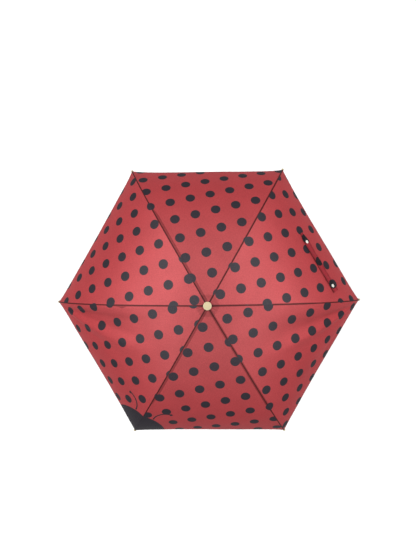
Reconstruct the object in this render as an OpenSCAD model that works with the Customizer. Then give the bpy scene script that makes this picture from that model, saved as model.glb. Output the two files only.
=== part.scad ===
// Children's folding umbrella, shown open and extended.
// Six three-section ribs, a telescoping three-tube shaft and a six-gore canopy.
// +Z runs up the shaft. The origin is the centre of the handle's grip.
// Rib 1 points along +X, and the others follow every 60 degrees.

/* [Canopy] */
// Length of a gore along its middle, from the apex to the hem
gore_length = 433; // [425:1:440]
// Slope of a gore at the apex, in degrees below level
crown_slope = 9; // [8:0.5:10]
// Slope of a gore at its hem, in degrees below level
hem_slope = 58; // [55:1:60]
// How much the slope eases just outside the crown, in degrees
crown_ease = 4; // [3:0.5:5]
// Thickness of the cloth with its seams
cloth = 0.5; // [0.4:0.05:0.8]

/* [Ribs] */
// Distance of the inner fold from the apex, along a gore's middle
inner_fold = 142; // [138:1:146]
// Distance of the outer fold from the apex, along a gore's middle
outer_fold = 273; // [269:1:277]
// Width of the inner rib channel
inner_width = 4.8; // [4.8:0.1:5.2]
// Width of the middle rib channel
middle_width = 4.6; // [4.6:0.1:5]
// Sheet thickness of both channels
wall = 0.8; // [0.7:0.05:0.8]
// Distance of the stretcher's rivet from the apex, along a gore's middle
rivet_place = 68; // [66:1:70]
// Length of a stretcher between its pivots
stretcher_length = 90; // [89:0.5:92]

/* [Shaft] */
// Outer radius of the upper tube
upper_radius = 6; // [5.8:0.05:6]
// Wall of each tube
tube_wall = 0.6; // [0.5:0.05:0.6]
// Radial gap between one tube and the next
tube_gap = 0.08; // [0.05:0.01:0.1]
// Length of the upper tube below the crown's hinges
upper_length = 192; // [190:1:196]
// Length of the middle tube, and of the lower tube above the handle
slide_length = 185; // [180:1:188]
// How far each tube slides into the next
slide_travel = 165; // [155:1:166]

/* [Handle] */
// Length of the handle
handle_length = 62; // [58:1:70]
// Radius of the grip
grip_radius = 14; // [13:0.5:15]
// Length of the straight, round part of the grip
grip_length = 40; // [36:1:42]

/* [Strap] */
// Width of the closing strap
strap_width = 20; // [19:0.5:21]
// Distance of the strap's middle line from the apex, along the gore's middle
strap_place = 339; // [335:1:343]
// Distance of the sewn end from the gore's middle
strap_root = 36; // [32:1:40]
// Distance of the free end from the gore's middle
strap_end = 151; // [146:1:155]

/* [Hidden] */
RIBS = 6;

$fn = 48;
half_gore = 180 / RIBS;
eps = 0.01;

// Heights
handle_top = handle_length / 2;
middle_bottom = handle_top + 1 + slide_travel;
upper_bottom = middle_bottom + 1 + slide_travel;
hinge_z = upper_bottom + upper_length;
hinge_drop = 7;
apex_z = hinge_z + hinge_drop;

// Tube radii
middle_radius = upper_radius - tube_wall - tube_gap;
lower_radius = middle_radius - tube_wall - tube_gap;

// Pivots and rivets
pin_radius = 0.8;
pin_gap = 0.08;
eye_radius = 1.7;
lug_radius = 1.8;
blade = 2.4;
crown_hinge_radius = 9.5;
ring_wire = 0.7;
runner_pivot_radius = 11.5;

// Depths below the cloth's middle surface
channel_top = 3.9;
inner_bottom = 7.1;
middle_depth = 6.6;
inner_hinge_drop = 2.9;
outer_hinge_drop = 6.4;
rivet_drop = 6.3;
rod_start = [3.4, 5.6];
rod_end = [1.8, 3.6];
rod_width = 2.2;
seam_gap = 0.15;
vent_radius = 4;

// Gore profile: [distance along the gore, radius, height] from the apex
STEPS = 120;
function slope(t) =
    crown_slope - crown_ease * t + (hem_slope - crown_slope + crown_ease) * t * t;
PROFILE = [
    for (i = 0, r = 0, z = 0;
        i <= STEPS;
        r = r + cos(slope((i + 0.5) / STEPS)) * gore_length / STEPS,
        z = z - sin(slope((i + 0.5) / STEPS)) * gore_length / STEPS,
        i = i + 1)
    [i * gore_length / STEPS, r, z]
];
RADII = [for (p = PROFILE) [p[0], p[1]]];
HEIGHTS = [for (p = PROFILE) [p[0], p[2]]];

function unit(v) = v / norm(v);
function lowered(p, before, after, drop) =
    let (way = unit(after - before)) p + drop * [way[1], -way[0]];
// A point of a gore's middle section, [radius, height], lowered below the cloth
function gore_place(u) = [lookup(u, RADII), lookup(u, HEIGHTS)];
function gore_point(u, drop) =
    lowered(gore_place(u), gore_place(u - 2), gore_place(u + (u < gore_length ? 2 : 0)), drop);
// The same on the ridge above a rib
function rib_place(u) = [lookup(u, RADII) / cos(half_gore), lookup(u, HEIGHTS)];
function rib_point(u, drop) =
    lowered(rib_place(u), rib_place(u - 2), rib_place(u + (u < gore_length ? 2 : 0)), drop);
function mix(pair, t) = pair[0] + (pair[1] - pair[0]) * t;
function direction(p, q) = atan2(q[1] - p[1], q[0] - p[0]);

// Strips along the profile, with top and bottom given at both ends
function strip(u0, u1, top, bottom, n) = concat(
    [for (i = [0:n]) rib_point(mix([u0, u1], i / n), mix(top, i / n))],
    [for (i = [n:-1:0]) rib_point(mix([u0, u1], i / n), mix(bottom, i / n))]
);
function cloth_strip(u0, u1, above, below, n) = concat(
    [for (i = [0:n]) gore_point(mix([u0, u1], i / n), -above)],
    [for (i = [n:-1:0]) gore_point(mix([u0, u1], i / n), below)]
);

// Hinges of a rib in its own plane, [radius, height] from the apex
crown_hinge = [crown_hinge_radius, -hinge_drop];
inner_hinge = rib_point(inner_fold, inner_hinge_drop);
outer_hinge = rib_point(outer_fold, outer_hinge_drop);
rivet = rib_point(rivet_place, rivet_drop);
runner_pivot = [
    runner_pivot_radius,
    rivet[1] - sqrt(pow(stretcher_length, 2) - pow(rivet[0] - runner_pivot_radius, 2))
];
rod_tip = rib_point(gore_length, (rod_end[0] + rod_end[1]) / 2);
rod_before = rib_point(gore_length - 6, (rod_end[0] + rod_end[1]) / 2);

// Crown, cap and runner
crown_radius = 12.5;
crown_below = 4.5;
crown_above = 3.4;
slot_floor = 7;
slot_width = 3;
post_radius = 3.2;
cap_radius = 10.75;
cap_height = 4.4;
cap_lift = 0.8;
cap_round = 1.6;
sleeve_radius = 8.6;
sleeve_bore = 6.1;
sleeve_length = 24;
flange_radius = 14;
flange_half = 3.5;
button_size = [2.6, 4.6, 8];
button_drop = 12;

// Tip bead
neck_radius = 2.1;
neck_bore = 1.65;
bead_radius = 3.7;
bead_place = 13;
neck_back = 6;

// Strap and snaps
strap_thick = 1.2;
strap_lift = 0.3;
snap_radius = 4.8;
snap_height = 1.4;
snap_root = 7;
snap_end = 133;

// Place a child drawn in a rib's own plane frame, with the apex at its origin
module on_rib(i) {
    rotate([0, 0, i * 360 / RIBS]) translate([0, 0, apex_z]) children();
}

module on_gore(i) {
    rotate([0, 0, (i + 0.5) * 360 / RIBS]) translate([0, 0, apex_z]) children();
}

// Stand a flat outline up in the plane of the shaft, centred on it
module slab(width) {
    rotate([90, 0, 0]) linear_extrude(height = width, center = true) children();
}

module disc(p, radius, width) {
    translate([p[0], 0, p[1]]) rotate([90, 0, 0])
        cylinder(r = radius, h = width, center = true);
}

module side_walls(width) {
    for (side = [-1, 1]) translate([0, side * (width - wall) / 2, 0]) slab(wall) children();
}

module handle() {
    straight = grip_length / 2;
    foot = 11;
    shoulder = 10.5;
    color("ivory") difference() {
        rotate_extrude() union() {
            translate([0, -straight]) square([grip_radius, grip_length]);
            polygon([
                [0, -handle_top], [foot, -handle_top],
                for (a = [0:15:90]) [
                    foot + (grip_radius - foot) * sin(a),
                    -straight - (handle_top - straight) * cos(a)
                ],
                [0, -straight]
            ]);
            polygon([
                [0, handle_top], [0, straight],
                for (a = [90:-15:0]) [
                    shoulder + (grip_radius - shoulder) * sin(a),
                    straight + (handle_top - straight) * cos(a)
                ],
                [shoulder, handle_top]
            ]);
        }
        translate([0, 0, -handle_top + 12])
            cylinder(r = lower_radius + 0.03, h = handle_length);
    }
}

module tube(radius, bottom, top) {
    translate([0, 0, bottom]) difference() {
        cylinder(r = radius, h = top - bottom);
        translate([0, 0, -1]) cylinder(r = radius - tube_wall, h = top - bottom + 2);
    }
}

module lower_tube() {
    color("silver") tube(lower_radius, -handle_top + 12.05, handle_top + slide_length);
}

module middle_tube() {
    color("silver") tube(middle_radius, middle_bottom, middle_bottom + slide_length);
}

module upper_tube() {
    color("silver") tube(upper_radius, upper_bottom, hinge_z + 0.4);
}

module crown() {
    color("ivory") difference() {
        translate([0, 0, hinge_z - crown_below])
            cylinder(r = crown_radius, h = crown_below + crown_above);
        translate([0, 0, hinge_z - crown_below - 1])
            cylinder(r = upper_radius + 0.03, h = crown_below + 1.5);
        cylinder(r = post_radius + 0.05, h = 2 * hinge_z);
        for (i = [0:RIBS - 1]) rotate([0, 0, i * 360 / RIBS])
            translate([slot_floor, -slot_width / 2, hinge_z - 20]) cube([20, slot_width, 40]);
        translate([0, 0, hinge_z]) rotate_extrude()
            translate([crown_hinge_radius, 0]) circle(r = ring_wire + 0.03);
    }
}

module crown_ring() {
    color("silver") translate([0, 0, hinge_z]) rotate_extrude()
        translate([crown_hinge_radius, 0]) circle(r = ring_wire);
}

module top_cap() {
    color("ivory") translate([0, 0, apex_z]) {
        rotate_extrude() polygon([
            [0, cap_lift], [cap_radius, cap_lift],
            for (a = [0:15:90]) [
                cap_radius - cap_round + cap_round * cos(a),
                cap_lift + cap_height - cap_round + cap_round * sin(a)
            ],
            [0, cap_lift + cap_height]
        ]);
        translate([0, 0, 1 - hinge_drop]) cylinder(r = post_radius, h = hinge_drop);
    }
}

module runner() {
    pivot_z = apex_z + runner_pivot[1];
    color("ivory") difference() {
        union() {
            translate([0, 0, pivot_z - flange_half - sleeve_length])
                cylinder(r = sleeve_radius, h = sleeve_length + eps);
            translate([0, 0, pivot_z - flange_half])
                cylinder(r = flange_radius, h = 2 * flange_half);
            translate([0, 0, pivot_z - flange_half - sleeve_length])
                cylinder(r = sleeve_radius + 1, h = 3);
        }
        cylinder(r = sleeve_bore, h = 2 * hinge_z);
        for (i = [0:RIBS - 1]) rotate([0, 0, i * 360 / RIBS])
            translate([sleeve_radius, -slot_width / 2, pivot_z - 6])
                cube([20, slot_width, 12]);
        button_place() cube(button_size + [2, 0.3, 0.3], center = true);
    }
}

module button_place() {
    rotate([0, 0, half_gore])
        translate([sleeve_radius, 0, apex_z + runner_pivot[1] - button_drop]) children();
}

module runner_button() {
    color("ivory") intersection() {
        button_place() cube(button_size, center = true);
        translate([0, 0, apex_z + runner_pivot[1] - button_drop])
            cylinder(r = sleeve_radius + 1.1, h = 20, center = true);
    }
}

module inner_rib(i) {
    color("silver") on_rib(i) difference() {
        union() {
            side_walls(inner_width) {
                polygon(strip(17, inner_fold, [channel_top, channel_top],
                    [inner_bottom, inner_bottom], 6));
            }
            slab(inner_width - wall)
                polygon(strip(17, inner_fold - 6, [channel_top, channel_top],
                    [channel_top + wall, channel_top + wall], 6));
            slab(blade) polygon(strip(8.5, 26, [4.2, 4.2], [inner_bottom, inner_bottom], 2));
            disc(crown_hinge, 2.2, blade);
            for (side = [-1, 1]) translate([0, side * (inner_width - wall) / 2, 0])
                disc(inner_hinge, lug_radius, wall);
            disc(inner_hinge, pin_radius, inner_width);
            disc(rivet, pin_radius, inner_width);
        }
        disc(crown_hinge, ring_wire + 0.2, 2 * blade);
    }
}

module stretcher(i) {
    back = direction(rivet, runner_pivot);
    color("silver") on_rib(i) difference() {
        union() {
            disc(rivet, eye_radius - 0.2, blade);
            disc(runner_pivot, eye_radius, blade);
            translate([rivet[0], 0, rivet[1]]) rotate([0, -back, 0])
                translate([0, -blade / 2, -1.2]) cube([stretcher_length, blade, 2.4]);
        }
        disc(rivet, pin_radius + pin_gap, 2 * blade);
    }
}

module middle_rib(i) {
    color("silver") on_rib(i) difference() {
        union() {
            side_walls(middle_width) polygon(strip(inner_fold + 5, outer_fold,
                [channel_top, channel_top], [middle_depth, middle_depth], 6));
            slab(middle_width - wall) polygon(strip(inner_fold + 5, outer_fold - 6,
                [channel_top, channel_top], [channel_top + wall, channel_top + wall], 6));
            slab(blade) polygon(strip(inner_fold, inner_fold + 14,
                [3.6, 4.1], [5.2, middle_depth - 0.4], 2));
            disc(inner_hinge, eye_radius, blade);
            for (side = [-1, 1]) translate([0, side * (middle_width - wall) / 2, 0])
                disc(outer_hinge, lug_radius, wall);
            disc(outer_hinge, pin_radius, middle_width);
        }
        disc(inner_hinge, pin_radius + pin_gap, 2 * blade);
    }
}

module outer_rib(i) {
    color("silver") on_rib(i) difference() {
        union() {
            slab(rod_width) polygon(strip(outer_fold, gore_length,
                [rod_start[0], rod_end[0]], [rod_start[1], rod_end[1]], 10));
            disc(outer_hinge, eye_radius, rod_width);
        }
        disc(outer_hinge, pin_radius + pin_gap, 2 * rod_width);
    }
}

module rib_tip(i) {
    back = direction(rod_before, rod_tip);
    color("ivory") on_rib(i)
        translate([rod_tip[0], 0, rod_tip[1]]) rotate([0, 90 - back, 0]) difference() {
            union() {
                translate([0, 0, -neck_back])
                    cylinder(r = neck_radius, h = neck_back + bead_place);
                translate([0, 0, bead_place]) sphere(r = bead_radius);
            }
            translate([0, 0, -neck_back - 1]) cylinder(r = neck_bore, h = neck_back + 1.6);
        }
}

// The half of a gore that lies on one side of a rib, between two distances from the apex
module half_panel(u0, u1, side, n) {
    reach = 1.2 * gore_length;
    edge = seam_gap / cos(half_gore);
    start = (seam_gap + edge) / tan(half_gore);
    rotate([0, 0, side * half_gore]) intersection() {
        slab(2 * reach) polygon(cloth_strip(u0, u1, cloth / 2, cloth / 2, n));
        translate([0, 0, -reach]) linear_extrude(height = 2 * reach) polygon([
            [start, -side * seam_gap],
            [reach, -side * seam_gap],
            [reach, -side * (reach * tan(half_gore) - edge)]
        ]);
    }
}

module canopy(i, u0, u1, n) {
    color("crimson") on_rib(i) for (side = [-1, 1]) half_panel(u0, u1, side, n);
}

module on_strap(v) {
    p = gore_point(strap_place, -cloth / 2 - strap_lift);
    q = gore_point(strap_place, 0);
    on_gore(0) translate([p[0], v, p[1]])
        rotate([0, 90 - direction(q, p), 0]) children();
}

module strap() {
    half = strap_width / 2;
    color("firebrick") on_gore(0) translate([0, (strap_root - strap_end) / 2, 0])
        slab(strap_root + strap_end)
        polygon(cloth_strip(strap_place - half, strap_place + half,
            cloth / 2 + strap_lift + strap_thick, -cloth / 2 - strap_lift, 2));
}

module strap_snaps() {
    color("white") for (v = [snap_root, -snap_end])
        on_strap(v) translate([0, 0, strap_thick + 0.1]) cylinder(r = snap_radius, h = snap_height);
}

handle();
lower_tube();
middle_tube();
upper_tube();
crown();
crown_ring();
top_cap();
runner();
runner_button();
strap();
strap_snaps();

for (i = [1:RIBS]) {
    inner_rib(i - 1);
    stretcher(i - 1);
    middle_rib(i - 1);
    outer_rib(i - 1);
    rib_tip(i - 1);
    canopy(i - 1, vent_radius, inner_fold - seam_gap, 6);
    canopy(i - 1, inner_fold + seam_gap, outer_fold - seam_gap, 7);
    canopy(i - 1, outer_fold + seam_gap, gore_length, 10);
}
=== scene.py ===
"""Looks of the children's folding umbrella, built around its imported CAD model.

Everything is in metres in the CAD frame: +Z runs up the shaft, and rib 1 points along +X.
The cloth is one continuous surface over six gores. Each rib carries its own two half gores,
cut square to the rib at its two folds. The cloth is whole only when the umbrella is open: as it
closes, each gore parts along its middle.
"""

import math

import bpy
import numpy as np
from mathutils import Matrix, Vector


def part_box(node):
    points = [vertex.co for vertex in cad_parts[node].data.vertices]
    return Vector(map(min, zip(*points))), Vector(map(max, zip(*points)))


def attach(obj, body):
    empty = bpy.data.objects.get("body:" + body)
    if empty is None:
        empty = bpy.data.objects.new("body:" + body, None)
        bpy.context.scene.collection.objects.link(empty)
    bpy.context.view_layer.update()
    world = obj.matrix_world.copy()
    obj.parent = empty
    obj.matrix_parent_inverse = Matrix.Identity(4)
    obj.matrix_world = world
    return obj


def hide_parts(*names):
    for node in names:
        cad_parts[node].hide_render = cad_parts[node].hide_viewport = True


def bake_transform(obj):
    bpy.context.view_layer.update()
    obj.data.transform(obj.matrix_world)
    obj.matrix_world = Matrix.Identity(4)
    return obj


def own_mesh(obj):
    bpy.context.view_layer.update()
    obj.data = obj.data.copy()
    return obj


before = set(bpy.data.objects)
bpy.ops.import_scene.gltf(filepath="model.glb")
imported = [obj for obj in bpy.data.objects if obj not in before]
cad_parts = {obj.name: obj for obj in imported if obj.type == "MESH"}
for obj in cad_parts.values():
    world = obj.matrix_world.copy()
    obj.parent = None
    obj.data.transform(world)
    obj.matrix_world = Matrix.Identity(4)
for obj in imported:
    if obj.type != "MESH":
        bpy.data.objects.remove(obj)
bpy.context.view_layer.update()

# ---------------------------------------------------------------- sizes, as in the CAD model
MM = 0.001
RIBS = 6
SIDES = (-1, 1)
TAN_HALF = math.tan(math.pi / RIBS)
COS_HALF = math.cos(math.pi / RIBS)
GORE = 433 * MM
CROWN_SLOPE, CROWN_EASE, HEM_SLOPE = 9, 4, 58
VENT = 4 * MM
HEM_HOLLOW = 8 * MM
INNER_FOLD, OUTER_FOLD = 142 * MM, 273 * MM
CLOTH = 0.4 * MM  # a little thinner than its CAD solid
STRAP_PLACE, STRAP_WIDTH = 339 * MM, 20 * MM
STRAP_ROOT, STRAP_END = 36 * MM, -151 * MM
STRAP_THICK, STRAP_LIFT = 1.2 * MM, 0.3 * MM
STRAP_REST, SNAP_REST = 0.5 * MM, 0.15 * MM
STRAP_WAVE, STRAP_WAVE_LENGTH = 0.55 * MM, 71 * MM
STRAP_CURL, STRAP_CURL_SPAN = 1.6 * MM, (128 * MM, 150 * MM)
SNAP_PLACES = (7 * MM, -133 * MM)
SNAP_RADIUS = 4.8 * MM
STRAP_GORE, STRAP_RIB = 0, 2
FOOT_Z = -31 * MM
UP = np.array([0.0, 0.0, 1.0])

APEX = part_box("top_cap")[0].z + 6 * MM

# Sections of a half gore: where they start and end along the rib and along the gore's middle
SECTIONS = {
    "inner": (VENT, INNER_FOLD, VENT, 187 * MM),
    "middle": (INNER_FOLD, OUTER_FOLD, 187 * MM, 351 * MM),
    "outer": (OUTER_FOLD, GORE, 351 * MM, GORE),
}
ROWS = {"inner": 34, "middle": 34, "outer": 52}
COLUMNS = 38
# How each section would gather as it closes, not applied here: share of its width kept, and
# distance from the rib.
# The inner and middle sections lie between two folded ribs, so they leave room for those.
GATHER = {"inner": (0.05, 2.8 * MM), "middle": (0.05, 2.8 * MM), "outer": (0.065, 0.0)}

# ---------------------------------------------------------------- print and colours
DOT_PITCH = 55.5 * MM
DOT_TURN = math.radians(15.0)
DOT_OFFSET = np.array([41.2, -28.3]) * MM
DOT_RADIUS = 12.5 * MM
STRAP_DOT_PITCH = 73 * MM
STRAP_DOT_START = 17 * MM
CORNER_RIB = 5
CORNER_CENTRE, CORNER_RADIUS = (0.0, 20 * MM), 88 * MM
FEELER_CENTRE, FEELER_RADIUS = (100 * MM, 72 * MM), 37.5 * MM
FEELER_ANGLES = (math.radians(65), math.radians(162))
FEELER_WIDTH = 4.0 * MM
FEELER_TIP, FEELER_TIP_RADIUS = (116 * MM, 105 * MM), 4.2 * MM
# The cloth's red and black are lighter at the crown: a painted sheen.
RED, RED_AT_CROWN = (0.341, 0.038, 0.043), (0.352, 0.059, 0.063)
BLACK, BLACK_AT_CROWN = (0.013, 0.010, 0.015), (0.028, 0.023, 0.029)
RED_INSIDE, INK_INSIDE = (0.30, 0.040, 0.045), (0.085, 0.022, 0.026)
# The strap's red and black are darker than the canopy's: painted shade where its double cloth lets
# less light through.
STRAP_RED, STRAP_BLACK = (0.26, 0.018, 0.026), (0.004, 0.003, 0.005)
SILK = 0.29
IVORY = (0.47, 0.41, 0.26)
STEEL = (0.62, 0.63, 0.65)
WHITE = (0.66, 0.66, 0.63)

# Seam allowances, painted as shade seen through the cloth: width on each side of the rib, and how
# far out
SEAM_BANDS = {
    1: (2.6 * MM, 3.0 * MM, 0.60),
    2: (2.4 * MM, 2.4 * MM, 1.00),
    3: (7.5 * MM, 2.0 * MM, 0.62),
    4: (2.2 * MM, 3.0 * MM, 0.55),
    5: (2.0 * MM, 7.0 * MM, 0.66),
    6: (4.4 * MM, 4.0 * MM, 0.72),
}
# A tab of the seam allowance: rib, side, distance from the apex, extra width
SEAM_TAB = (4, 1, 202 * MM, 5 * MM)
# Slack folds that run out of a corner: gore, side of its corner, angle from the hem and
# half width in degrees, and height
SLACK = (
    (3, -1, 52.0, 7.5, -9.0 * MM), (3, -1, 42.0, 4.5, 3.4 * MM), (3, -1, 34.0, 4.0, -1.5 * MM),
    (3, -1, 57.0, 2.6, -1.6 * MM), (3, -1, 48.5, 2.2, -1.4 * MM),
    (5, 1, 49.5, 6.5, -8.5 * MM), (5, 1, 41.0, 3.0, 3.0 * MM), (5, 1, 34.0, 4.0, -1.5 * MM),
    (5, 1, 12.0, 4.0, -1.4 * MM),
    (0, -1, 58.0, 5.0, -0.8 * MM), (2, 1, 58.0, 6.0, -0.8 * MM),
)
# How far the cloth's corner is pulled out onto each rib's tip
EARS = {1: 1.5 * MM, 2: 2.5 * MM, 3: 5 * MM, 4: 5 * MM, 5: 1.5 * MM, 6: 2.5 * MM}


# ---------------------------------------------------------------- the cloth's surface
def slope(u):
    """Slope of a gore below level at distance u from the apex."""
    t = u / GORE
    steep = (HEM_SLOPE - CROWN_SLOPE + CROWN_EASE) * t * t
    return np.radians(CROWN_SLOPE - CROWN_EASE * t + steep)


def gore_profile(steps=1200):
    """Distances along a gore's middle with their radii and heights from the apex."""
    s = slope((np.arange(steps) + 0.5) * GORE / steps)
    out = np.concatenate([[0], np.cumsum(np.cos(s))]) * GORE / steps
    down = np.concatenate([[0], np.cumsum(np.sin(s))]) * GORE / steps
    return np.linspace(0, GORE, steps + 1), out, -down


PROFILE = gore_profile()


def radius(u):
    return np.interp(u, PROFILE[0], PROFILE[1])


def height(u):
    return np.interp(u, PROFILE[0], PROFILE[2])


def smooth(x, low, high):
    t = np.clip((x - low) / (high - low), 0, 1)
    return t * t * (3 - 2 * t)


def bell(x, centre, width):
    return np.exp(-(((x - centre) / width) ** 2))


def gore_axes(gore):
    """Outward direction of a gore's middle and direction along its chord."""
    a = math.radians(60 * gore + 30)
    return np.array([math.cos(a), math.sin(a), 0.0]), np.array([-math.sin(a), math.cos(a), 0.0])


def hem_cut(v):
    """How far the hem lies inside the chord between two corners."""
    share = np.clip(np.abs(v) / (radius(GORE) * TAN_HALF), 0, 1)
    return HEM_HOLLOW * (1 - share**5)


def corner_polar(u, v, side):
    """Distance and angle from the hem, about the corner on one side of a gore."""
    along = radius(GORE) * TAN_HALF - side * v
    up = GORE - u
    return np.hypot(along, up), np.degrees(np.arctan2(up, np.maximum(along, 1e-6)))


def slack_folds(gore, u, v):
    h = 0.0
    for place, side, centre, width, size in SLACK:
        if place != gore:
            continue
        away, angle = corner_polar(u, v, side)
        reach = smooth(away, 0.01, 0.15) * (1 - smooth(away, 0.20, 0.38))
        h = h + size * reach * bell(angle, centre, width)
    return h


def ear_pull(gore, u, v):
    """Shift of the cloth near its two corners, out along the ribs."""
    shift = 0.0
    for side in SIDES:
        rib = (gore + (1 if side > 0 else 0)) % RIBS + 1
        away, _ = corner_polar(u, v, side)
        _, way = ridge(rib, GORE)
        shift = shift + (EARS[rib] * bell(away, 0, 16 * MM))[..., None] * way
    return shift


def relief(gore, u, v):
    """Height of the cloth above its even surface, along the surface's normal."""
    seam = radius(u) * TAN_HALF - np.abs(v)
    calm = smooth(seam, 0, 0.028)
    # Even slack between the ribs, and the folds that run out of the loose corners
    broad = np.sin(27 * u + 1.7 * gore) * np.sin(21 * v + 2.3 * gore)
    fine = np.sin(61 * u - 34 * v + 0.9 * gore) * np.sin(47 * v + 12 * u + gore)
    h = calm * (0.55 * MM * broad + 0.22 * MM * fine)
    h = h + smooth(seam, 0, 0.02) * slack_folds(gore, u, v)
    # Puckers along the seams, stronger at the folds
    pucker = np.sin(2 * math.pi * u / 0.0118 + gore) * np.exp(-seam / 0.009)
    joints = 1 + 1.6 * bell(u, INNER_FOLD, 0.02) + 1.6 * bell(u, OUTER_FOLD, 0.02)
    h = h + 0.11 * MM * pucker * joints * smooth(seam, 0, 0.003)
    # Ripple of the sewn hem, and gathers under the cap
    hem = GORE - u
    ripple = np.sin(2 * math.pi * v / 0.0165 + 2 * gore) * np.exp(-np.maximum(hem, 0) / 0.012)
    h = h + 0.22 * MM * ripple * calm
    gather = np.sin(v / np.maximum(u, 0.003) * 19 + gore) * np.exp(-u / 0.016)
    return h + 0.5 * MM * gather * smooth(seam, 0, 0.003)


def surface(gore, u, v, lift=0.0):
    """Points of the cloth, lifted along its normal, with their shading normals."""
    out, chord = gore_axes(gore)
    u, v = np.asarray(u, float), np.asarray(v, float)
    s = slope(u)[..., None]
    normal = np.sin(s) * out + np.cos(s) * UP
    along = np.cos(s) * out - np.sin(s) * UP
    step = 0.4 * MM
    rise_u = (relief(gore, u + step, v) - relief(gore, u - step, v)) / (2 * step)
    rise_v = (relief(gore, u, v + step) - relief(gore, u, v - step)) / (2 * step)
    point = radius(u)[..., None] * out + v[..., None] * chord + (APEX + height(u))[..., None] * UP
    point = point + (relief(gore, u, v) + lift)[..., None] * normal + ear_pull(gore, u, v)
    shade = normal - rise_u[..., None] * along - rise_v[..., None] * chord
    return point, shade / np.linalg.norm(shade, axis=-1, keepdims=True)


def gore_beside(rib, side):
    """The gore on one side of a rib."""
    return rib - 1 if side > 0 else (rib - 2) % RIBS


def ridge(rib, u, drop=0.0):
    """Point of the ridge over a rib, and the ridge's direction there."""
    a = math.radians(60 * (rib - 1))
    out = np.array([math.cos(a), math.sin(a), 0.0])
    way = math.cos(slope(u)) / COS_HALF * out - math.sin(slope(u)) * UP
    way = way / np.linalg.norm(way)
    up = np.cross(way, np.cross(UP, way))
    up = up / np.linalg.norm(up)
    return float(radius(u)) / COS_HALF * out + (APEX + float(height(u))) * UP - drop * up, way


def off_ridge(side, u, away):
    """Flat cloth coordinates of points square off a rib, at a distance from its seam."""
    lean = np.cos(slope(u)) * TAN_HALF
    length = np.sqrt(1 + lean**2)
    return u + away * lean / length, -side * (radius(u) * TAN_HALF - away / length)


# ---------------------------------------------------------------- meshes
def new_object(name, points, faces, material):
    mesh = bpy.data.meshes.new(name)
    mesh.from_pydata([tuple(p) for p in points], [], faces)
    mesh.validate()
    mesh.materials.append(material)
    piece = bpy.data.objects.new(name, mesh)
    bpy.context.scene.collection.objects.link(piece)
    mesh.polygons.foreach_set("use_smooth", [True] * len(mesh.polygons))
    return piece


def grid_faces(rows, columns, start=0, turn=False):
    faces = []
    for i in range(rows):
        for j in range(columns):
            a = start + i * (columns + 1) + j
            face = (a, a + columns + 1, a + columns + 2, a + 1)
            faces.append(face[::-1] if turn else face)
    return faces


def rim_faces(rows, columns, lower, turn=False):
    """Faces that join the edges of an upper grid to a lower one."""
    wide = columns + 1
    loop = [j for j in range(columns)] + [i * wide + columns for i in range(rows)]
    loop += [rows * wide + j for j in range(columns, 0, -1)]
    loop += [i * wide for i in range(rows, 0, -1)]
    faces = []
    for a, b in zip(loop, loop[1:] + loop[:1]):
        face = (a, b, b + lower, a + lower)
        faces.append(face[::-1] if turn else face)
    return faces


def thin_sheet(name, top, bottom, top_normals, material, turn, values):
    """A closed sheet between two grids of points, smoothly shaded, with values for its material."""
    rows, columns = top.shape[0] - 1, top.shape[1] - 1
    count = top.shape[0] * top.shape[1]
    points = np.concatenate([top.reshape(-1, 3), bottom.reshape(-1, 3)])
    faces = grid_faces(rows, columns, 0, turn) + grid_faces(rows, columns, count, not turn)
    faces += rim_faces(rows, columns, count, turn)
    piece = new_object(name, points, faces, material)
    mesh = piece.data
    for key, grid in values.items():
        both = np.concatenate([grid.reshape(count, -1), grid.reshape(count, -1)])
        kind = "FLOAT_VECTOR" if both.shape[1] == 3 else "FLOAT"
        field = "vector" if both.shape[1] == 3 else "value"
        mesh.attributes.new(key, kind, "POINT").data.foreach_set(field, both.ravel())
    layer = np.concatenate([np.zeros(count), np.ones(count)])
    mesh.attributes.new("layer", "FLOAT", "POINT").data.foreach_set("value", layer)
    normals = np.concatenate([top_normals.reshape(-1, 3), -top_normals.reshape(-1, 3)])
    mesh.normals_split_custom_set_from_vertices([tuple(n) for n in normals])
    return piece


def dot_place(gore, u, v):
    """Coordinates in the printed dots' square lattice, in whole pitches at the dots' centres."""
    out, chord = gore_axes(gore)
    shift = (8.8 - 3.5 * math.sin(math.radians(60 * gore + 30))) * MM
    flat = (u - shift)[..., None] * out[:2] + v[..., None] * chord[:2] - DOT_OFFSET
    c, s = math.cos(DOT_TURN), math.sin(DOT_TURN)
    x = (c * flat[..., 0] + s * flat[..., 1]) / DOT_PITCH
    y = (-s * flat[..., 0] + c * flat[..., 1]) / DOT_PITCH
    return np.stack([x, y, np.zeros_like(x)], axis=-1)


def corner_place(u, v, side):
    """Distances along the hem from the corner on one side of a gore, and up from the hem."""
    along = radius(GORE) * TAN_HALF - side * v
    return np.stack([along, GORE - u, np.zeros_like(u)], axis=-1)


def band_width(rib, side, u):
    minus, plus, reach = SEAM_BANDS[rib]
    width = plus if side > 0 else minus
    thin = 1.6 * MM
    width = width + (thin - width) * smooth(u, reach * GORE - 0.03, reach * GORE + 0.01)
    if (rib, side) == SEAM_TAB[:2]:
        width = width + SEAM_TAB[3] * bell(u, SEAM_TAB[2], 9 * MM)
    return width


def cloth_values(rib, side, gore, u, v):
    seam = (radius(u) * TAN_HALF - np.abs(v)) * 0.93
    hem = GORE - hem_cut(v) - u
    return {
        "dots": dot_place(gore, u, v),
        "flat": np.stack([u, v, np.zeros_like(u)], axis=-1),
        "seam": seam,
        "band": seam / band_width(rib, side, u),
        "hem": hem,
        "corner": corner_place(u, v, -side),
    }


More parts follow.
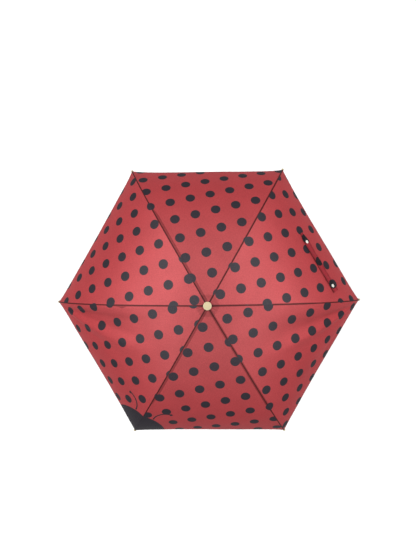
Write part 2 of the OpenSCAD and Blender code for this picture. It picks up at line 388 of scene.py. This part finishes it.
def half_gore(rib, side, section, material):
    """One section of the cloth on one side of a rib."""
    rib0, rib1, mid0, mid1 = SECTIONS[section]
    rows = np.linspace(0, 1, ROWS[section] + 1)
    if section == "outer":
        rows = 1 - (1 - rows) ** 1.5
    across = np.linspace(0, 1, COLUMNS + 1)
    across = 0.22 * across + 0.78 * across**2
    i, w = np.meshgrid(rows, across, indexing="ij")
    u_rib, u_mid = rib0 + (rib1 - rib0) * i, mid0 + (mid1 - mid0) * i
    u = u_rib + (u_mid - u_rib) * w
    v = -side * radius(u_rib) * TAN_HALF * (1 - w)
    if section == "outer":
        u = u - hem_cut(v) * i**3
    gore = gore_beside(rib, side)
    fold = 0.22 * MM * (1 - smooth(GORE - hem_cut(v) - u, 5.2 * MM, 6.2 * MM))
    top, normals = surface(gore, u, v, CLOTH / 2 + fold)
    bottom, _ = surface(gore, u, v, -CLOTH / 2 - fold)
    name = f"cloth_{rib}_{'left' if side > 0 else 'right'}_{section}"
    values = cloth_values(rib, side, gore, u, v)
    piece = thin_sheet(name, top, bottom, normals, material, side < 0, values)
    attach(piece, f"rib_{rib}_{section}")
    crumple(piece, rib, side, (rib0 + rib1) / 2, *GATHER[section])
    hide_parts(f"canopy_{section}_{rib}")


def crumple(piece, rib, side, u, keep, aside):
    """Works out the direction across the rib, and gives the piece a mesh of its own."""
    anchor, way = ridge(rib, u)
    chord = gore_axes(gore_beside(rib, side))[1]
    axis = chord - (chord @ way) * way
    axis = axis / np.linalg.norm(axis)
    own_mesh(piece)


# ---------------------------------------------------------------- seams and joint pads
def over_ridge(rib, stations, offsets, lifts):
    """A grid of points across a rib's ridge: offsets run from its right side to its left."""
    points, normals, dots, flat, corner = [], [], [], [], []
    for away, lift in zip(offsets, lifts):
        side = 1 if away >= 0 else -1
        gore = gore_beside(rib, side)
        u, v = off_ridge(side, stations, abs(away))
        point, normal = surface(gore, u, v, lift)
        if away == 0:
            other, tilt = surface(gore_beside(rib, -1), u, -v, lift)
            point, normal = (point + other) / 2, normal + tilt
            normal = normal / np.linalg.norm(normal, axis=-1, keepdims=True)
        points.append(point)
        normals.append(normal)
        dots.append(dot_place(gore, u, v))
        flat.append(np.stack([u, v, np.zeros_like(u)], axis=-1))
        corner.append(corner_place(u, v, -side))
    return [np.stack(x, axis=1) for x in (points, normals, dots, flat, corner)]


def ridge_strip(name, rib, u0, u1, offsets, lifts, thick, material):
    stations = np.linspace(u0, u1, max(4, int((u1 - u0) / (3 * MM))))
    top, normals, dots, flat, corner = over_ridge(rib, stations, offsets, lifts)
    under = over_ridge(rib, stations, offsets, [x - thick for x in lifts])[0]
    one = np.ones(top.shape[:2])
    # Strips over a rib take the painted shade of the seam allowance and the painted shadow along
    # the rib, at their darkest.
    values = {"dots": dots, "flat": flat, "corner": corner,
              "seam": one * MM, "band": one * 0.2, "hem": one}
    return thin_sheet(name, top, under, normals, material, False, values)


def seam(rib, material, outer_material):
    """The sewn seam over a rib, in two lengths that each cross one fold."""
    half = (INNER_FOLD + OUTER_FOLD) / 2
    lengths = (("a", 9 * MM, half, "inner", "middle", INNER_FOLD, material),
               ("b", half, GORE - 1 * MM, "middle", "outer", OUTER_FOLD, outer_material))
    offsets = [x * MM for x in (-1.5, -1.2, -0.7, 0, 0.7, 1.2, 1.5)]
    lifts = [x * MM for x in (0.05, 0.42, 0.62, 0.7, 0.62, 0.42, 0.05)]
    for tag, u0, u1, before, after, fold, cloth in lengths:
        piece = ridge_strip(f"seam_{rib}_{tag}", rib, u0, u1, offsets, lifts, 0.4 * MM, cloth)
        bend(piece)


def joint_pads(rib, material):
    """Small cloth pads between the canopy and the rib's two folds."""
    for tag, before, after, fold in (("inner", "inner", "middle", INNER_FOLD),
                                     ("outer", "middle", "outer", OUTER_FOLD)):
        offsets = [x * MM for x in (-7, -5, -3, -1.5, 0, 1.5, 3, 5, 7)]
        lifts = [-0.3 * MM] * len(offsets)
        name = f"joint_pad_{rib}_{tag}"
        u0, u1 = fold - 17 * MM, fold + 17 * MM
        piece = ridge_strip(name, rib, u0, u1, offsets, lifts, 0.35 * MM, material)
        bend(piece)


def bend(piece):
    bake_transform(piece)


# ---------------------------------------------------------------- strap and snaps
def strap_wave(v, w=0.0):
    """Height of the strap's long waves off the cloth."""
    return STRAP_WAVE * (1 + np.sin(2 * math.pi * v / STRAP_WAVE_LENGTH + 1.1 * w))


def strap_curl(v, w=0.0):
    """Lift of the strap's free end, more at its edges than along its middle."""
    return STRAP_CURL * smooth(-v, *STRAP_CURL_SPAN) * (0.4 + 0.6 * np.abs(w))


def strap_creases(v, slant):
    """Slanting creases beside the sewn end and near the free end."""
    near = 0.55 * MM * slant**3 * bell(v, -0.035, 0.022)
    return near + 0.4 * MM * slant**3 * bell(v, -0.1, 0.02)


def strap(material):
    """The closing strap: double cloth, pleated where it is sewn on, square at its free end."""
    along = np.linspace(STRAP_ROOT, STRAP_END, 110)
    across = np.linspace(-1, 1, 25)
    v, w = np.meshgrid(along, across, indexing="ij")
    root = 1 - smooth(STRAP_ROOT - v, 0, 26 * MM)
    half = STRAP_WIDTH / 2 * (1 - 0.42 * root)
    edge = 0.25 * MM * np.sin(2 * math.pi * v / 0.021) * np.abs(w)
    u = STRAP_PLACE + w * half + edge
    pleat = 0.9 * MM * root * np.cos(w * 3 * math.pi) * smooth(STRAP_ROOT - v, 0, 5 * MM)
    slant = np.sin(2 * math.pi * (v + 0.9 * (u - STRAP_PLACE)) / 0.019)
    stitch = -0.22 * MM * bell(np.abs(w), 0.80, 0.09)
    round_edge = -0.5 * STRAP_THICK * smooth(np.abs(w), 0.9, 1.0)
    lift = CLOTH / 2 + STRAP_LIFT + strap_wave(v, w) * smooth(STRAP_ROOT - v, 0, 0.03)
    lift = lift + strap_curl(v, w) + pleat + strap_creases(v, slant) + STRAP_REST
    top, _ = surface(STRAP_GORE, u, v, lift + STRAP_THICK + stitch + round_edge)
    bottom, _ = surface(STRAP_GORE, u, v, lift - round_edge)
    normals = grid_normals(top)
    dots = np.stack([(v - STRAP_DOT_START) / STRAP_DOT_PITCH,
                     (u - STRAP_PLACE - 2 * MM) / STRAP_DOT_PITCH, np.zeros_like(u)], axis=-1)
    # Distances from the strap's edges, under "seam" and "hem", give it a painted shadow and painted
    # shade along its edges.
    values = {"dots": dots, "flat": np.stack([u, v, np.zeros_like(u)], axis=-1),
              "seam": (1 - np.abs(w)) * half + 0.9 * MM, "band": np.full_like(u, 9.0),
              "hem": (1 - np.abs(w)) * half, "corner": np.zeros_like(dots) + np.array([1.0, 0, 0])}
    piece = thin_sheet("strap_band", top, bottom, normals, material, False, values)
    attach(piece, f"rib_{STRAP_RIB}_outer")
    tuck(piece)
    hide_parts("strap")


def tuck(piece):
    """Gives the strap or a snap a mesh of its own."""
    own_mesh(piece)


def grid_normals(points):
    """Normals of a grid of points, turned up out of the cloth."""
    along = np.gradient(points, axis=0)
    across = np.gradient(points, axis=1)
    normal = np.cross(across, along)
    normal = normal / np.linalg.norm(normal, axis=-1, keepdims=True)
    out = gore_axes(STRAP_GORE)[0] + UP
    return normal * np.sign((normal @ out).mean())


def lathe(name, outline, centre, up, material, turns=40):
    """A turned shape from (radius, height) pairs, standing on a point along a direction."""
    up = Vector(up).normalized()
    turn = up.to_track_quat("Z", "Y").to_matrix()
    points, faces = [], []
    for r, z in outline:
        for k in range(turns):
            a = 2 * math.pi * k / turns
            points.append(Vector(centre) + turn @ Vector((r * math.cos(a), r * math.sin(a), z)))
    for i in range(len(outline) - 1):
        for k in range(turns):
            a, b = i * turns + k, i * turns + (k + 1) % turns
            faces.append((a, b, b + turns, a + turns))
    faces.append(tuple(range(turns))[::-1])
    faces.append(tuple(range((len(outline) - 1) * turns, len(outline) * turns)))
    return new_object(name, points, faces, material)


def snaps(material):
    """The two halves of the press stud: a flanged dome and a flanged ring."""
    r = SNAP_RADIUS
    domes = (
        ((r * 0.9, -0.1), (r, 0.05), (r, 0.35), (r * 0.93, 0.5), (r * 0.62, 0.55),
         (r * 0.56, 0.75), (r * 0.5, 1.15), (r * 0.36, 1.4), (r * 0.16, 1.5), (r * 0.02, 1.52)),
        ((r * 0.9, -0.1), (r, 0.05), (r, 0.45), (r * 0.9, 0.75), (r * 0.72, 0.85),
         (r * 0.62, 0.8), (r * 0.56, 0.68), (r * 0.3, 0.62), (r * 0.02, 0.6)),
    )
    for tag, v, outline in zip(("root", "end"), SNAP_PLACES, domes):
        lift = CLOTH / 2 + STRAP_LIFT + STRAP_THICK + SNAP_REST
        lift += float(strap_wave(v) + strap_curl(v))
        point, normal = surface(STRAP_GORE, np.array([STRAP_PLACE]), np.array([v]), lift)
        outline = [(a, b * MM) for a, b in outline]
        piece = lathe(f"snap_{tag}", outline, point[0], normal[0], material)
        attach(piece, f"rib_{STRAP_RIB}_outer")
        tuck(piece)
        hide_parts("strap_snaps")


def tip_thread(rib, material):
    """Thread that ties the cloth's corner to the rib's tip."""
    centre, way = ridge(rib, GORE, 2.7 * MM)
    side = np.cross(way, UP)
    side = side / np.linalg.norm(side)
    up = np.cross(side, way)
    turns, per, wire, reach = 5, 18, 0.32 * MM, 2.45 * MM
    points, faces = [], []
    count = turns * per
    for k in range(count + 1):
        a = 2 * math.pi * k / per
        ring = math.cos(a) * side + math.sin(a) * up
        middle = centre + way * (EARS[rib] + 0.6 * MM + 3.2 * MM * k / count) + reach * ring
        for m in range(8):
            b = 2 * math.pi * m / 8
            points.append(middle + wire * (math.cos(b) * ring + math.sin(b) * way))
    for k in range(count):
        for m in range(8):
            a, b = k * 8 + m, k * 8 + (m + 1) % 8
            faces.append((a, b, b + 8, a + 8))
    faces.append(tuple(range(8))[::-1])
    faces.append(tuple(range(count * 8, count * 8 + 8)))
    piece = new_object(f"tip_thread_{rib}", points, faces, material)
    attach(piece, f"rib_{rib}_outer")


# ---------------------------------------------------------------- materials
class Graph:
    """A material's nodes, with short calls for the ones used here."""

    def __init__(self, name):
        self.material = bpy.data.materials.new(name)
        self.material.use_nodes = True
        self.tree = self.material.node_tree
        self.tree.nodes.clear()
        self.shader = self.add("ShaderNodeBsdfPrincipled")
        output = self.add("ShaderNodeOutputMaterial")
        self.link(self.shader.outputs[0], output.inputs[0])

    def add(self, kind, **settings):
        made = self.tree.nodes.new(kind)
        for key, value in settings.items():
            setattr(made, key, value)
        return made

    def link(self, value, socket):
        if isinstance(value, bpy.types.NodeSocket):
            self.tree.links.new(value, socket)
        elif value is not None:
            if isinstance(value, tuple) and len(value) == 3 and socket.type == "RGBA":
                value = (*value, 1.0)
            socket.default_value = value

    def math(self, operation, a, b=None, c=None):
        made = self.add("ShaderNodeMath", operation=operation)
        for socket, value in zip(made.inputs, (a, b, c)):
            self.link(value, socket)
        return made.outputs[0]

    def vector(self, operation, a, b=None):
        made = self.add("ShaderNodeVectorMath", operation=operation)
        self.link(a, made.inputs[0])
        if operation == "SCALE":
            self.link(b, made.inputs["Scale"])
        else:
            self.link(b, made.inputs[1])
        return made.outputs["Value" if operation == "LENGTH" else "Vector"]

    def attribute(self, name, output="Fac"):
        return self.add("ShaderNodeAttribute", attribute_name=name).outputs[output]

    def step(self, value, low, high, start=0.0, end=1.0):
        made = self.add("ShaderNodeMapRange", interpolation_type="SMOOTHSTEP")
        for socket, number in zip(made.inputs, (value, low, high, start, end)):
            self.link(number, socket)
        return made.outputs[0]

    def noise(self, vector, scale, detail=3.0, roughness=0.5):
        made = self.add("ShaderNodeTexNoise")
        self.link(vector, made.inputs["Vector"])
        made.inputs["Scale"].default_value = scale
        made.inputs["Detail"].default_value = detail
        made.inputs["Roughness"].default_value = roughness
        return made.outputs["Fac"]

    def mix(self, share, a, b, blend="MIX"):
        made = self.add("ShaderNodeMix", data_type="RGBA", blend_type=blend)
        self.link(share, made.inputs[0])
        self.link(a, made.inputs[6])
        self.link(b, made.inputs[7])
        return made.outputs[2]

    def scaled(self, colour, factor):
        """A colour made lighter or darker by a factor."""
        grey = self.add("ShaderNodeCombineColor")
        for socket in grey.inputs:
            self.link(factor, socket)
        return self.mix(1.0, colour, grey.outputs[0], "MULTIPLY")

    def bump(self, height, strength, distance):
        made = self.add("ShaderNodeBump")
        made.inputs["Strength"].default_value = strength
        made.inputs["Distance"].default_value = distance
        self.link(height, made.inputs["Height"])
        self.link(made.outputs[0], self.shader.inputs["Normal"])

    def set(self, **values):
        for key, value in values.items():
            self.link(value, self.shader.inputs[key.replace("_", " ")])

    def place(self):
        return self.add("ShaderNodeTexCoord").outputs["Object"]


def weave(g, flat, pitch):
    """Height of crossed threads over flat cloth coordinates, from 0 to 1."""
    split = g.add("ShaderNodeSeparateXYZ")
    g.link(g.vector("SCALE", flat, 2 * math.pi / pitch), split.inputs[0])
    a = g.math("SINE", split.outputs[0])
    b = g.math("SINE", split.outputs[1])
    return g.math("MULTIPLY_ADD", g.math("MULTIPLY", a, b), 0.5, 0.5)


def dot_mask(g, pitch, wobble):
    """1 inside a printed dot and 0 outside it."""
    shifted = g.vector("ADD", g.attribute("dots", "Vector"), (0.5, 0.5, 0.0))
    off = g.vector("SUBTRACT", g.vector("FRACTION", shifted), (0.5, 0.5, 0.0))
    reach = g.math("ADD", g.vector("LENGTH", off), g.math("MULTIPLY", wobble, 0.012))
    edge = DOT_RADIUS / pitch + 0.006
    soft = 0.35 * MM / pitch
    return g.step(reach, edge - soft, edge + soft, 1.0, 0.0)


def corner_mask(g):
    """The black corner patch, part of a disc, with two plain feelers."""
    split = g.add("ShaderNodeSeparateXYZ")
    g.link(g.attribute("corner", "Vector"), split.inputs[0])
    x, y = split.outputs[0], split.outputs[1]
    patch = disc_mask(g, x, y, CORNER_CENTRE, CORNER_RADIUS)
    feeler = arc_mask(g, x, y, FEELER_CENTRE, FEELER_RADIUS, FEELER_ANGLES, FEELER_WIDTH)
    end = disc_mask(g, x, y, FEELER_TIP, FEELER_TIP_RADIUS)
    return g.math("MAXIMUM", patch, g.math("MAXIMUM", feeler, end))


def disc_mask(g, x, y, centre, size):
    away = distance(g, x, y, centre)
    return g.step(away, size - 0.3 * MM, size + 0.3 * MM, 1.0, 0.0)


def distance(g, x, y, centre):
    dx, dy = g.math("SUBTRACT", x, centre[0]), g.math("SUBTRACT", y, centre[1])
    square = g.math("ADD", g.math("MULTIPLY", dx, dx), g.math("MULTIPLY", dy, dy))
    return g.math("SQRT", square)


def arc_mask(g, x, y, centre, size, angles, width):
    off = g.math("ABSOLUTE", g.math("SUBTRACT", distance(g, x, y, centre), size))
    line = g.step(off, width / 2 - 0.3 * MM, width / 2 + 0.3 * MM, 1.0, 0.0)
    dx, dy = g.math("SUBTRACT", x, centre[0]), g.math("SUBTRACT", y, centre[1])
    angle = g.math("ARCTAN2", dy, dx)
    after = g.math("GREATER_THAN", angle, angles[0])
    before = g.math("LESS_THAN", angle, angles[1])
    return g.math("MULTIPLY", line, g.math("MULTIPLY", after, before))


def cloth_material(name, pitch=DOT_PITCH, corner=False, inks=None):
    """Printed polyester: red with black dots, with painted shade where seams, hems and the crown
    patch double it, painted shadow along the ribs and a painted sheen towards the crown.
    """
    g = Graph(name)
    flat = g.attribute("flat", "Vector")
    band, hem = g.attribute("band"), g.attribute("hem")
    broad = g.noise(flat, 14.0, 2.0)
    speck = g.noise(flat, 330.0, 2.0, 0.7)
    wobble = g.math("SUBTRACT", g.noise(flat, 900.0, 1.0), 0.5)
    black = dot_mask(g, pitch, wobble)
    if corner:
        black = g.math("MAXIMUM", black, corner_mask(g))
    tone = g.step(broad, 0.25, 0.75, 0.96, 1.04)
    tone = g.math("MULTIPLY", tone, g.step(speck, 0.25, 0.75, 0.90, 1.10))
    for lay in ((1.0, 8.0, 1.0), (8.0, 1.0, 1.0)):
        slub = g.noise(g.vector("MULTIPLY", flat, lay), 150.0, 2.0)
        tone = g.math("MULTIPLY", tone, g.step(slub, 0.25, 0.75, 0.91, 1.09))
    tone = g.math("MULTIPLY", tone, painted_shade_and_stitches(g, flat, band, hem))
    out = g.add("ShaderNodeSeparateXYZ")
    g.link(flat, out.inputs[0])
    # Painted sheen: the red and the black are lighter towards the crown.
    crown_sheen = g.step(out.outputs[0], 0.09, 0.36, 1.0, 0.0)
    reds, blacks = inks or ((RED, RED_AT_CROWN), (BLACK, BLACK_AT_CROWN))
    red = g.scaled(g.mix(crown_sheen, *reds), tone)
    ink = g.scaled(g.mix(crown_sheen, *blacks), g.step(speck, 0.2, 0.8, 0.85, 1.35))
    inside = g.attribute("layer")
    ink = g.mix(g.math("MULTIPLY", inside, 0.85), ink, INK_INSIDE)
    red = g.mix(g.math("MULTIPLY", inside, 0.6), red, RED_INSIDE)
    colour = g.mix(black, red, ink)
    threads = weave(g, flat, 0.9 * MM)
    rough = g.math("MULTIPLY_ADD", speck, 0.12, g.step(out.outputs[0], 0.12, 0.42, 0.40, 0.62))
    rough = g.math("MULTIPLY_ADD", threads, 0.06, rough)
    g.set(Base_Color=colour, Roughness=rough, Metallic=g.math("MULTIPLY_ADD", black, -SILK, SILK))
    g.shader.inputs["Specular IOR Level"].default_value = 0.16
    g.bump(g.math("ADD", threads, g.math("MULTIPLY", speck, 0.8)), 0.22, 0.00012)
    return g.material


def painted_shade_and_stitches(g, flat, band, hem):
    """Painted shade where the cloth lies double (seam allowances, hem and crown patch), painted
    shadow along the ribs, and darker stitches.
    """
    # Painted shade where the seam allowances lie double and let less light through
    allowance = g.step(band, 0.86, 1.14, 0.60, 1.0)
    stitch_line = g.step(g.math("ABSOLUTE", g.math("SUBTRACT", band, 1.0)), 0.0, 0.16, 0.72, 1.0)
    # Painted shadow along the rib under each seam, and along the strap's edges
    seam_shadow = g.step(g.attribute("seam"), 1.1 * MM, 2.2 * MM, 0.30, 1.0)
    split = g.add("ShaderNodeSeparateXYZ")
    g.link(flat, split.inputs[0])
    # Painted shade where the hem lies double
    hem_shade = g.step(hem, 5.4 * MM, 6.2 * MM, 0.86, 1.0)
    off_line = g.math("ABSOLUTE", g.math("SUBTRACT", hem, 5.0 * MM))
    on_line = g.step(off_line, 0.2 * MM, 0.5 * MM, 1.0, 0.0)
    dash = g.math("SINE", g.math("MULTIPLY", split.outputs[1], 2 * math.pi / (2.6 * MM)))
    stitch = g.math("MULTIPLY", on_line, g.step(dash, -0.2, 0.3))
    # Painted shade over the doubled patch under the cap
    patch = g.step(split.outputs[0], 27 * MM, 29 * MM, 0.76, 1.0)
    tone = g.math("MULTIPLY", allowance, stitch_line)
    tone = g.math("MULTIPLY", tone, g.math("MULTIPLY", seam_shadow, patch))
    return g.math("MULTIPLY", tone, g.math("MULTIPLY", hem_shade, g.step(stitch, 0.0, 1.0, 1.0, 0.6)))


def plastic_material(name, colour, rough=0.38):
    """Moulded plastic with faint flow marks and handling haze, with painted shade that darkens its
    hollows and corners and makes its edges a little lighter.
    """
    g = Graph(name)
    place = g.place()
    cloud = g.noise(place, 55.0, 4.0)
    grain = g.noise(place, 900.0, 2.0)
    # Painted shade: darker in hollows and corners, a little lighter on edges, by the surface's
    # curvature.
    curvature = g.add("ShaderNodeNewGeometry").outputs["Pointiness"]
    light = g.step(curvature, 0.46, 0.56, 0.90, 1.04)
    tone = g.math("MULTIPLY", light, g.step(cloud, 0.25, 0.75, 0.94, 1.05))
    warm = (colour[0], colour[1] * 0.96, colour[2] * 0.86)
    g.set(Base_Color=g.scaled(g.mix(cloud, colour, warm), tone))
    g.set(Roughness=g.math("MULTIPLY_ADD", cloud, 0.22, rough - 0.1))
    g.shader.inputs["IOR"].default_value = 1.48
    g.bump(g.math("ADD", grain, g.math("MULTIPLY", cloud, 2.0)), 0.16, 0.0003)
    return g.material


def metal_material(name, colour, stretch, rough=0.3):
    """Plated steel with drawn lines along its length and scuffs, with painted shade that darkens
    its hollows and corners and makes its edges a little lighter.
    """
    g = Graph(name)
    place = g.place()
    lines = g.noise(g.vector("MULTIPLY", place, stretch), 60.0, 4.0, 0.6)
    cloud = g.noise(place, 45.0, 3.0)
    # Painted shade: darker in hollows and corners, a little lighter on edges, by the surface's
    # curvature.
    curvature = g.step(g.add("ShaderNodeNewGeometry").outputs["Pointiness"], 0.47, 0.56, 0.86, 1.08)
    tone = g.math("MULTIPLY", curvature, g.step(lines, 0.2, 0.8, 0.88, 1.06))
    g.set(Base_Color=g.scaled(g.mix(cloud, colour, tuple(c * 0.9 for c in colour)), tone))
    g.set(Roughness=g.math("ADD", g.math("MULTIPLY_ADD", lines, 0.18, rough - 0.1),
                           g.math("MULTIPLY", cloud, 0.12)))
    g.shader.inputs["Metallic"].default_value = 1.0
    g.bump(lines, 0.12, 0.0002)
    return g.material


def thread_material(name, colour):
    """Twisted thread: fine slanting strands, with a painted highlight on their crests."""
    g = Graph(name)
    strands = g.noise(g.vector("MULTIPLY", g.place(), (1.0, 1.0, 2.5)), 2600.0, 2.0)
    # Painted highlight: lighter where the strands rise.
    tone = g.step(strands, 0.3, 0.7, 0.7, 1.3)
    g.set(Base_Color=g.scaled(g.mix(strands, colour, tuple(c * 1.4 for c in colour)), tone))
    g.set(Roughness=g.math("MULTIPLY_ADD", strands, 0.2, 0.55))
    g.bump(strands, 0.3, 0.0001)
    return g.material


def dress(node, material):
    """Gives a CAD node its material."""
    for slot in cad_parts[node].material_slots:
        slot.material = material


# ---------------------------------------------------------------- stage, light and camera
CAMERA_PLACE = (0.0156, 0.0820, 1.530)
CAMERA_TURN = (0.649, -0.794, 0.453)
LENS = 25.18
LIGHT_TARGET = (0, 0, 0.45)
LIGHT_SIZE = (2.4, 0.9)
LEFT_LIGHT, LEFT_POWER = (-1.38, 0.22, 2.1), 46
RIGHT_LIGHT, RIGHT_POWER = (1.38, 0.22, 2.1), 41
WORLD_STRENGTH = 0.42
# The floor glows a little, so that it stays pale and the umbrella's shadow on it is faint
FLOOR_GLOW, FLOOR_HALF, FLOOR_DROP = 0.55, 6.0, 0.5 * MM


def camera():
    rx, ry, rz = (math.radians(a) for a in CAMERA_TURN)
    turn = Matrix.Rotation(rz, 3, "Z") @ Matrix.Rotation(ry, 3, "Y") @ Matrix.Rotation(rx, 3, "X")
    data = bpy.data.cameras.new("camera")
    data.lens, data.sensor_width = LENS, 36
    made = bpy.data.objects.new("camera", data)
    made.matrix_world = Matrix.Translation(CAMERA_PLACE) @ turn.transposed().to_4x4()
    bpy.context.scene.collection.objects.link(made)
    bpy.context.scene.camera = made


def softbox(name, place, target, size, power):
    data = bpy.data.lights.new(name, "AREA")
    data.shape, data.size, data.size_y, data.energy = "RECTANGLE", size[0], size[1], power
    made = bpy.data.objects.new(name, data)
    made.location = place
    made.rotation_euler = (Vector(target) - Vector(place)).to_track_quat("-Z", "Y").to_euler()
    bpy.context.scene.collection.objects.link(made)


def floor():
    g = Graph("floor_paper")
    grain = g.noise(g.place(), 30.0, 3.0)
    g.set(Base_Color=g.mix(grain, (0.50, 0.50, 0.50), (0.52, 0.52, 0.52)))
    g.shader.inputs["Roughness"].default_value = 0.9
    g.shader.inputs["Emission Color"].default_value = (1, 1, 1, 1)
    g.shader.inputs["Emission Strength"].default_value = FLOOR_GLOW
    size, z = FLOOR_HALF, FOOT_Z - FLOOR_DROP
    corners = [(-size, -size, z), (size, -size, z), (size, size, z), (-size, size, z)]
    made = new_object("floor", corners, [(0, 1, 2, 3)], g.material)


def lighting():
    world = bpy.data.worlds.new("studio")
    bpy.context.scene.world = world
    world.use_nodes = True
    world.node_tree.nodes["Background"].inputs[0].default_value = (1.0, 1.0, 1.0, 1)
    world.node_tree.nodes["Background"].inputs[1].default_value = WORLD_STRENGTH
    softbox("left_light", LEFT_LIGHT, LIGHT_TARGET, LIGHT_SIZE, LEFT_POWER)
    softbox("right_light", RIGHT_LIGHT, LIGHT_TARGET, LIGHT_SIZE, RIGHT_POWER)
    bpy.context.scene.view_settings.view_transform = "Standard"


# ---------------------------------------------------------------- the whole umbrella
def dress_frame():
    ivory = plastic_material("ivory_plastic", IVORY)
    ribs = metal_material("zinc_plated_steel", STEEL, (1, 1, 1), 0.34)
    tubes = metal_material("satin_tube", (0.66, 0.67, 0.69), (9, 9, 0.35), 0.28)
    for node in ("handle", "crown", "top_cap", "runner", "runner_button"):
        dress(node, ivory)
    for node in ("lower_tube", "middle_tube", "upper_tube", "crown_ring"):
        dress(node, tubes)
    for rib in range(1, RIBS + 1):
        dress(f"rib_tip_{rib}", ivory)
        for kind in ("inner_rib", "stretcher", "middle_rib", "outer_rib"):
            dress(f"{kind}_{rib}", ribs)


def canopy():
    cloth = cloth_material("dotted_polyester")
    corner = cloth_material("dotted_polyester_corner", corner=True)
    thread = thread_material("sewing_thread", (0.07, 0.012, 0.014))
    for rib in range(1, RIBS + 1):
        for side in SIDES:
            for section in SECTIONS:
                patched = rib == CORNER_RIB and section == "outer"
                half_gore(rib, side, section, corner if patched else cloth)
        seam(rib, cloth, corner if rib == CORNER_RIB else cloth)
        joint_pads(rib, cloth)
        tip_thread(rib, thread)


camera()
floor()
lighting()
dress_frame()
canopy()
strap(cloth_material("strap_cloth", STRAP_DOT_PITCH,
                     inks=((STRAP_RED, STRAP_RED), (STRAP_BLACK, STRAP_BLACK))))
snaps(plastic_material("snap_plastic", WHITE, 0.3))
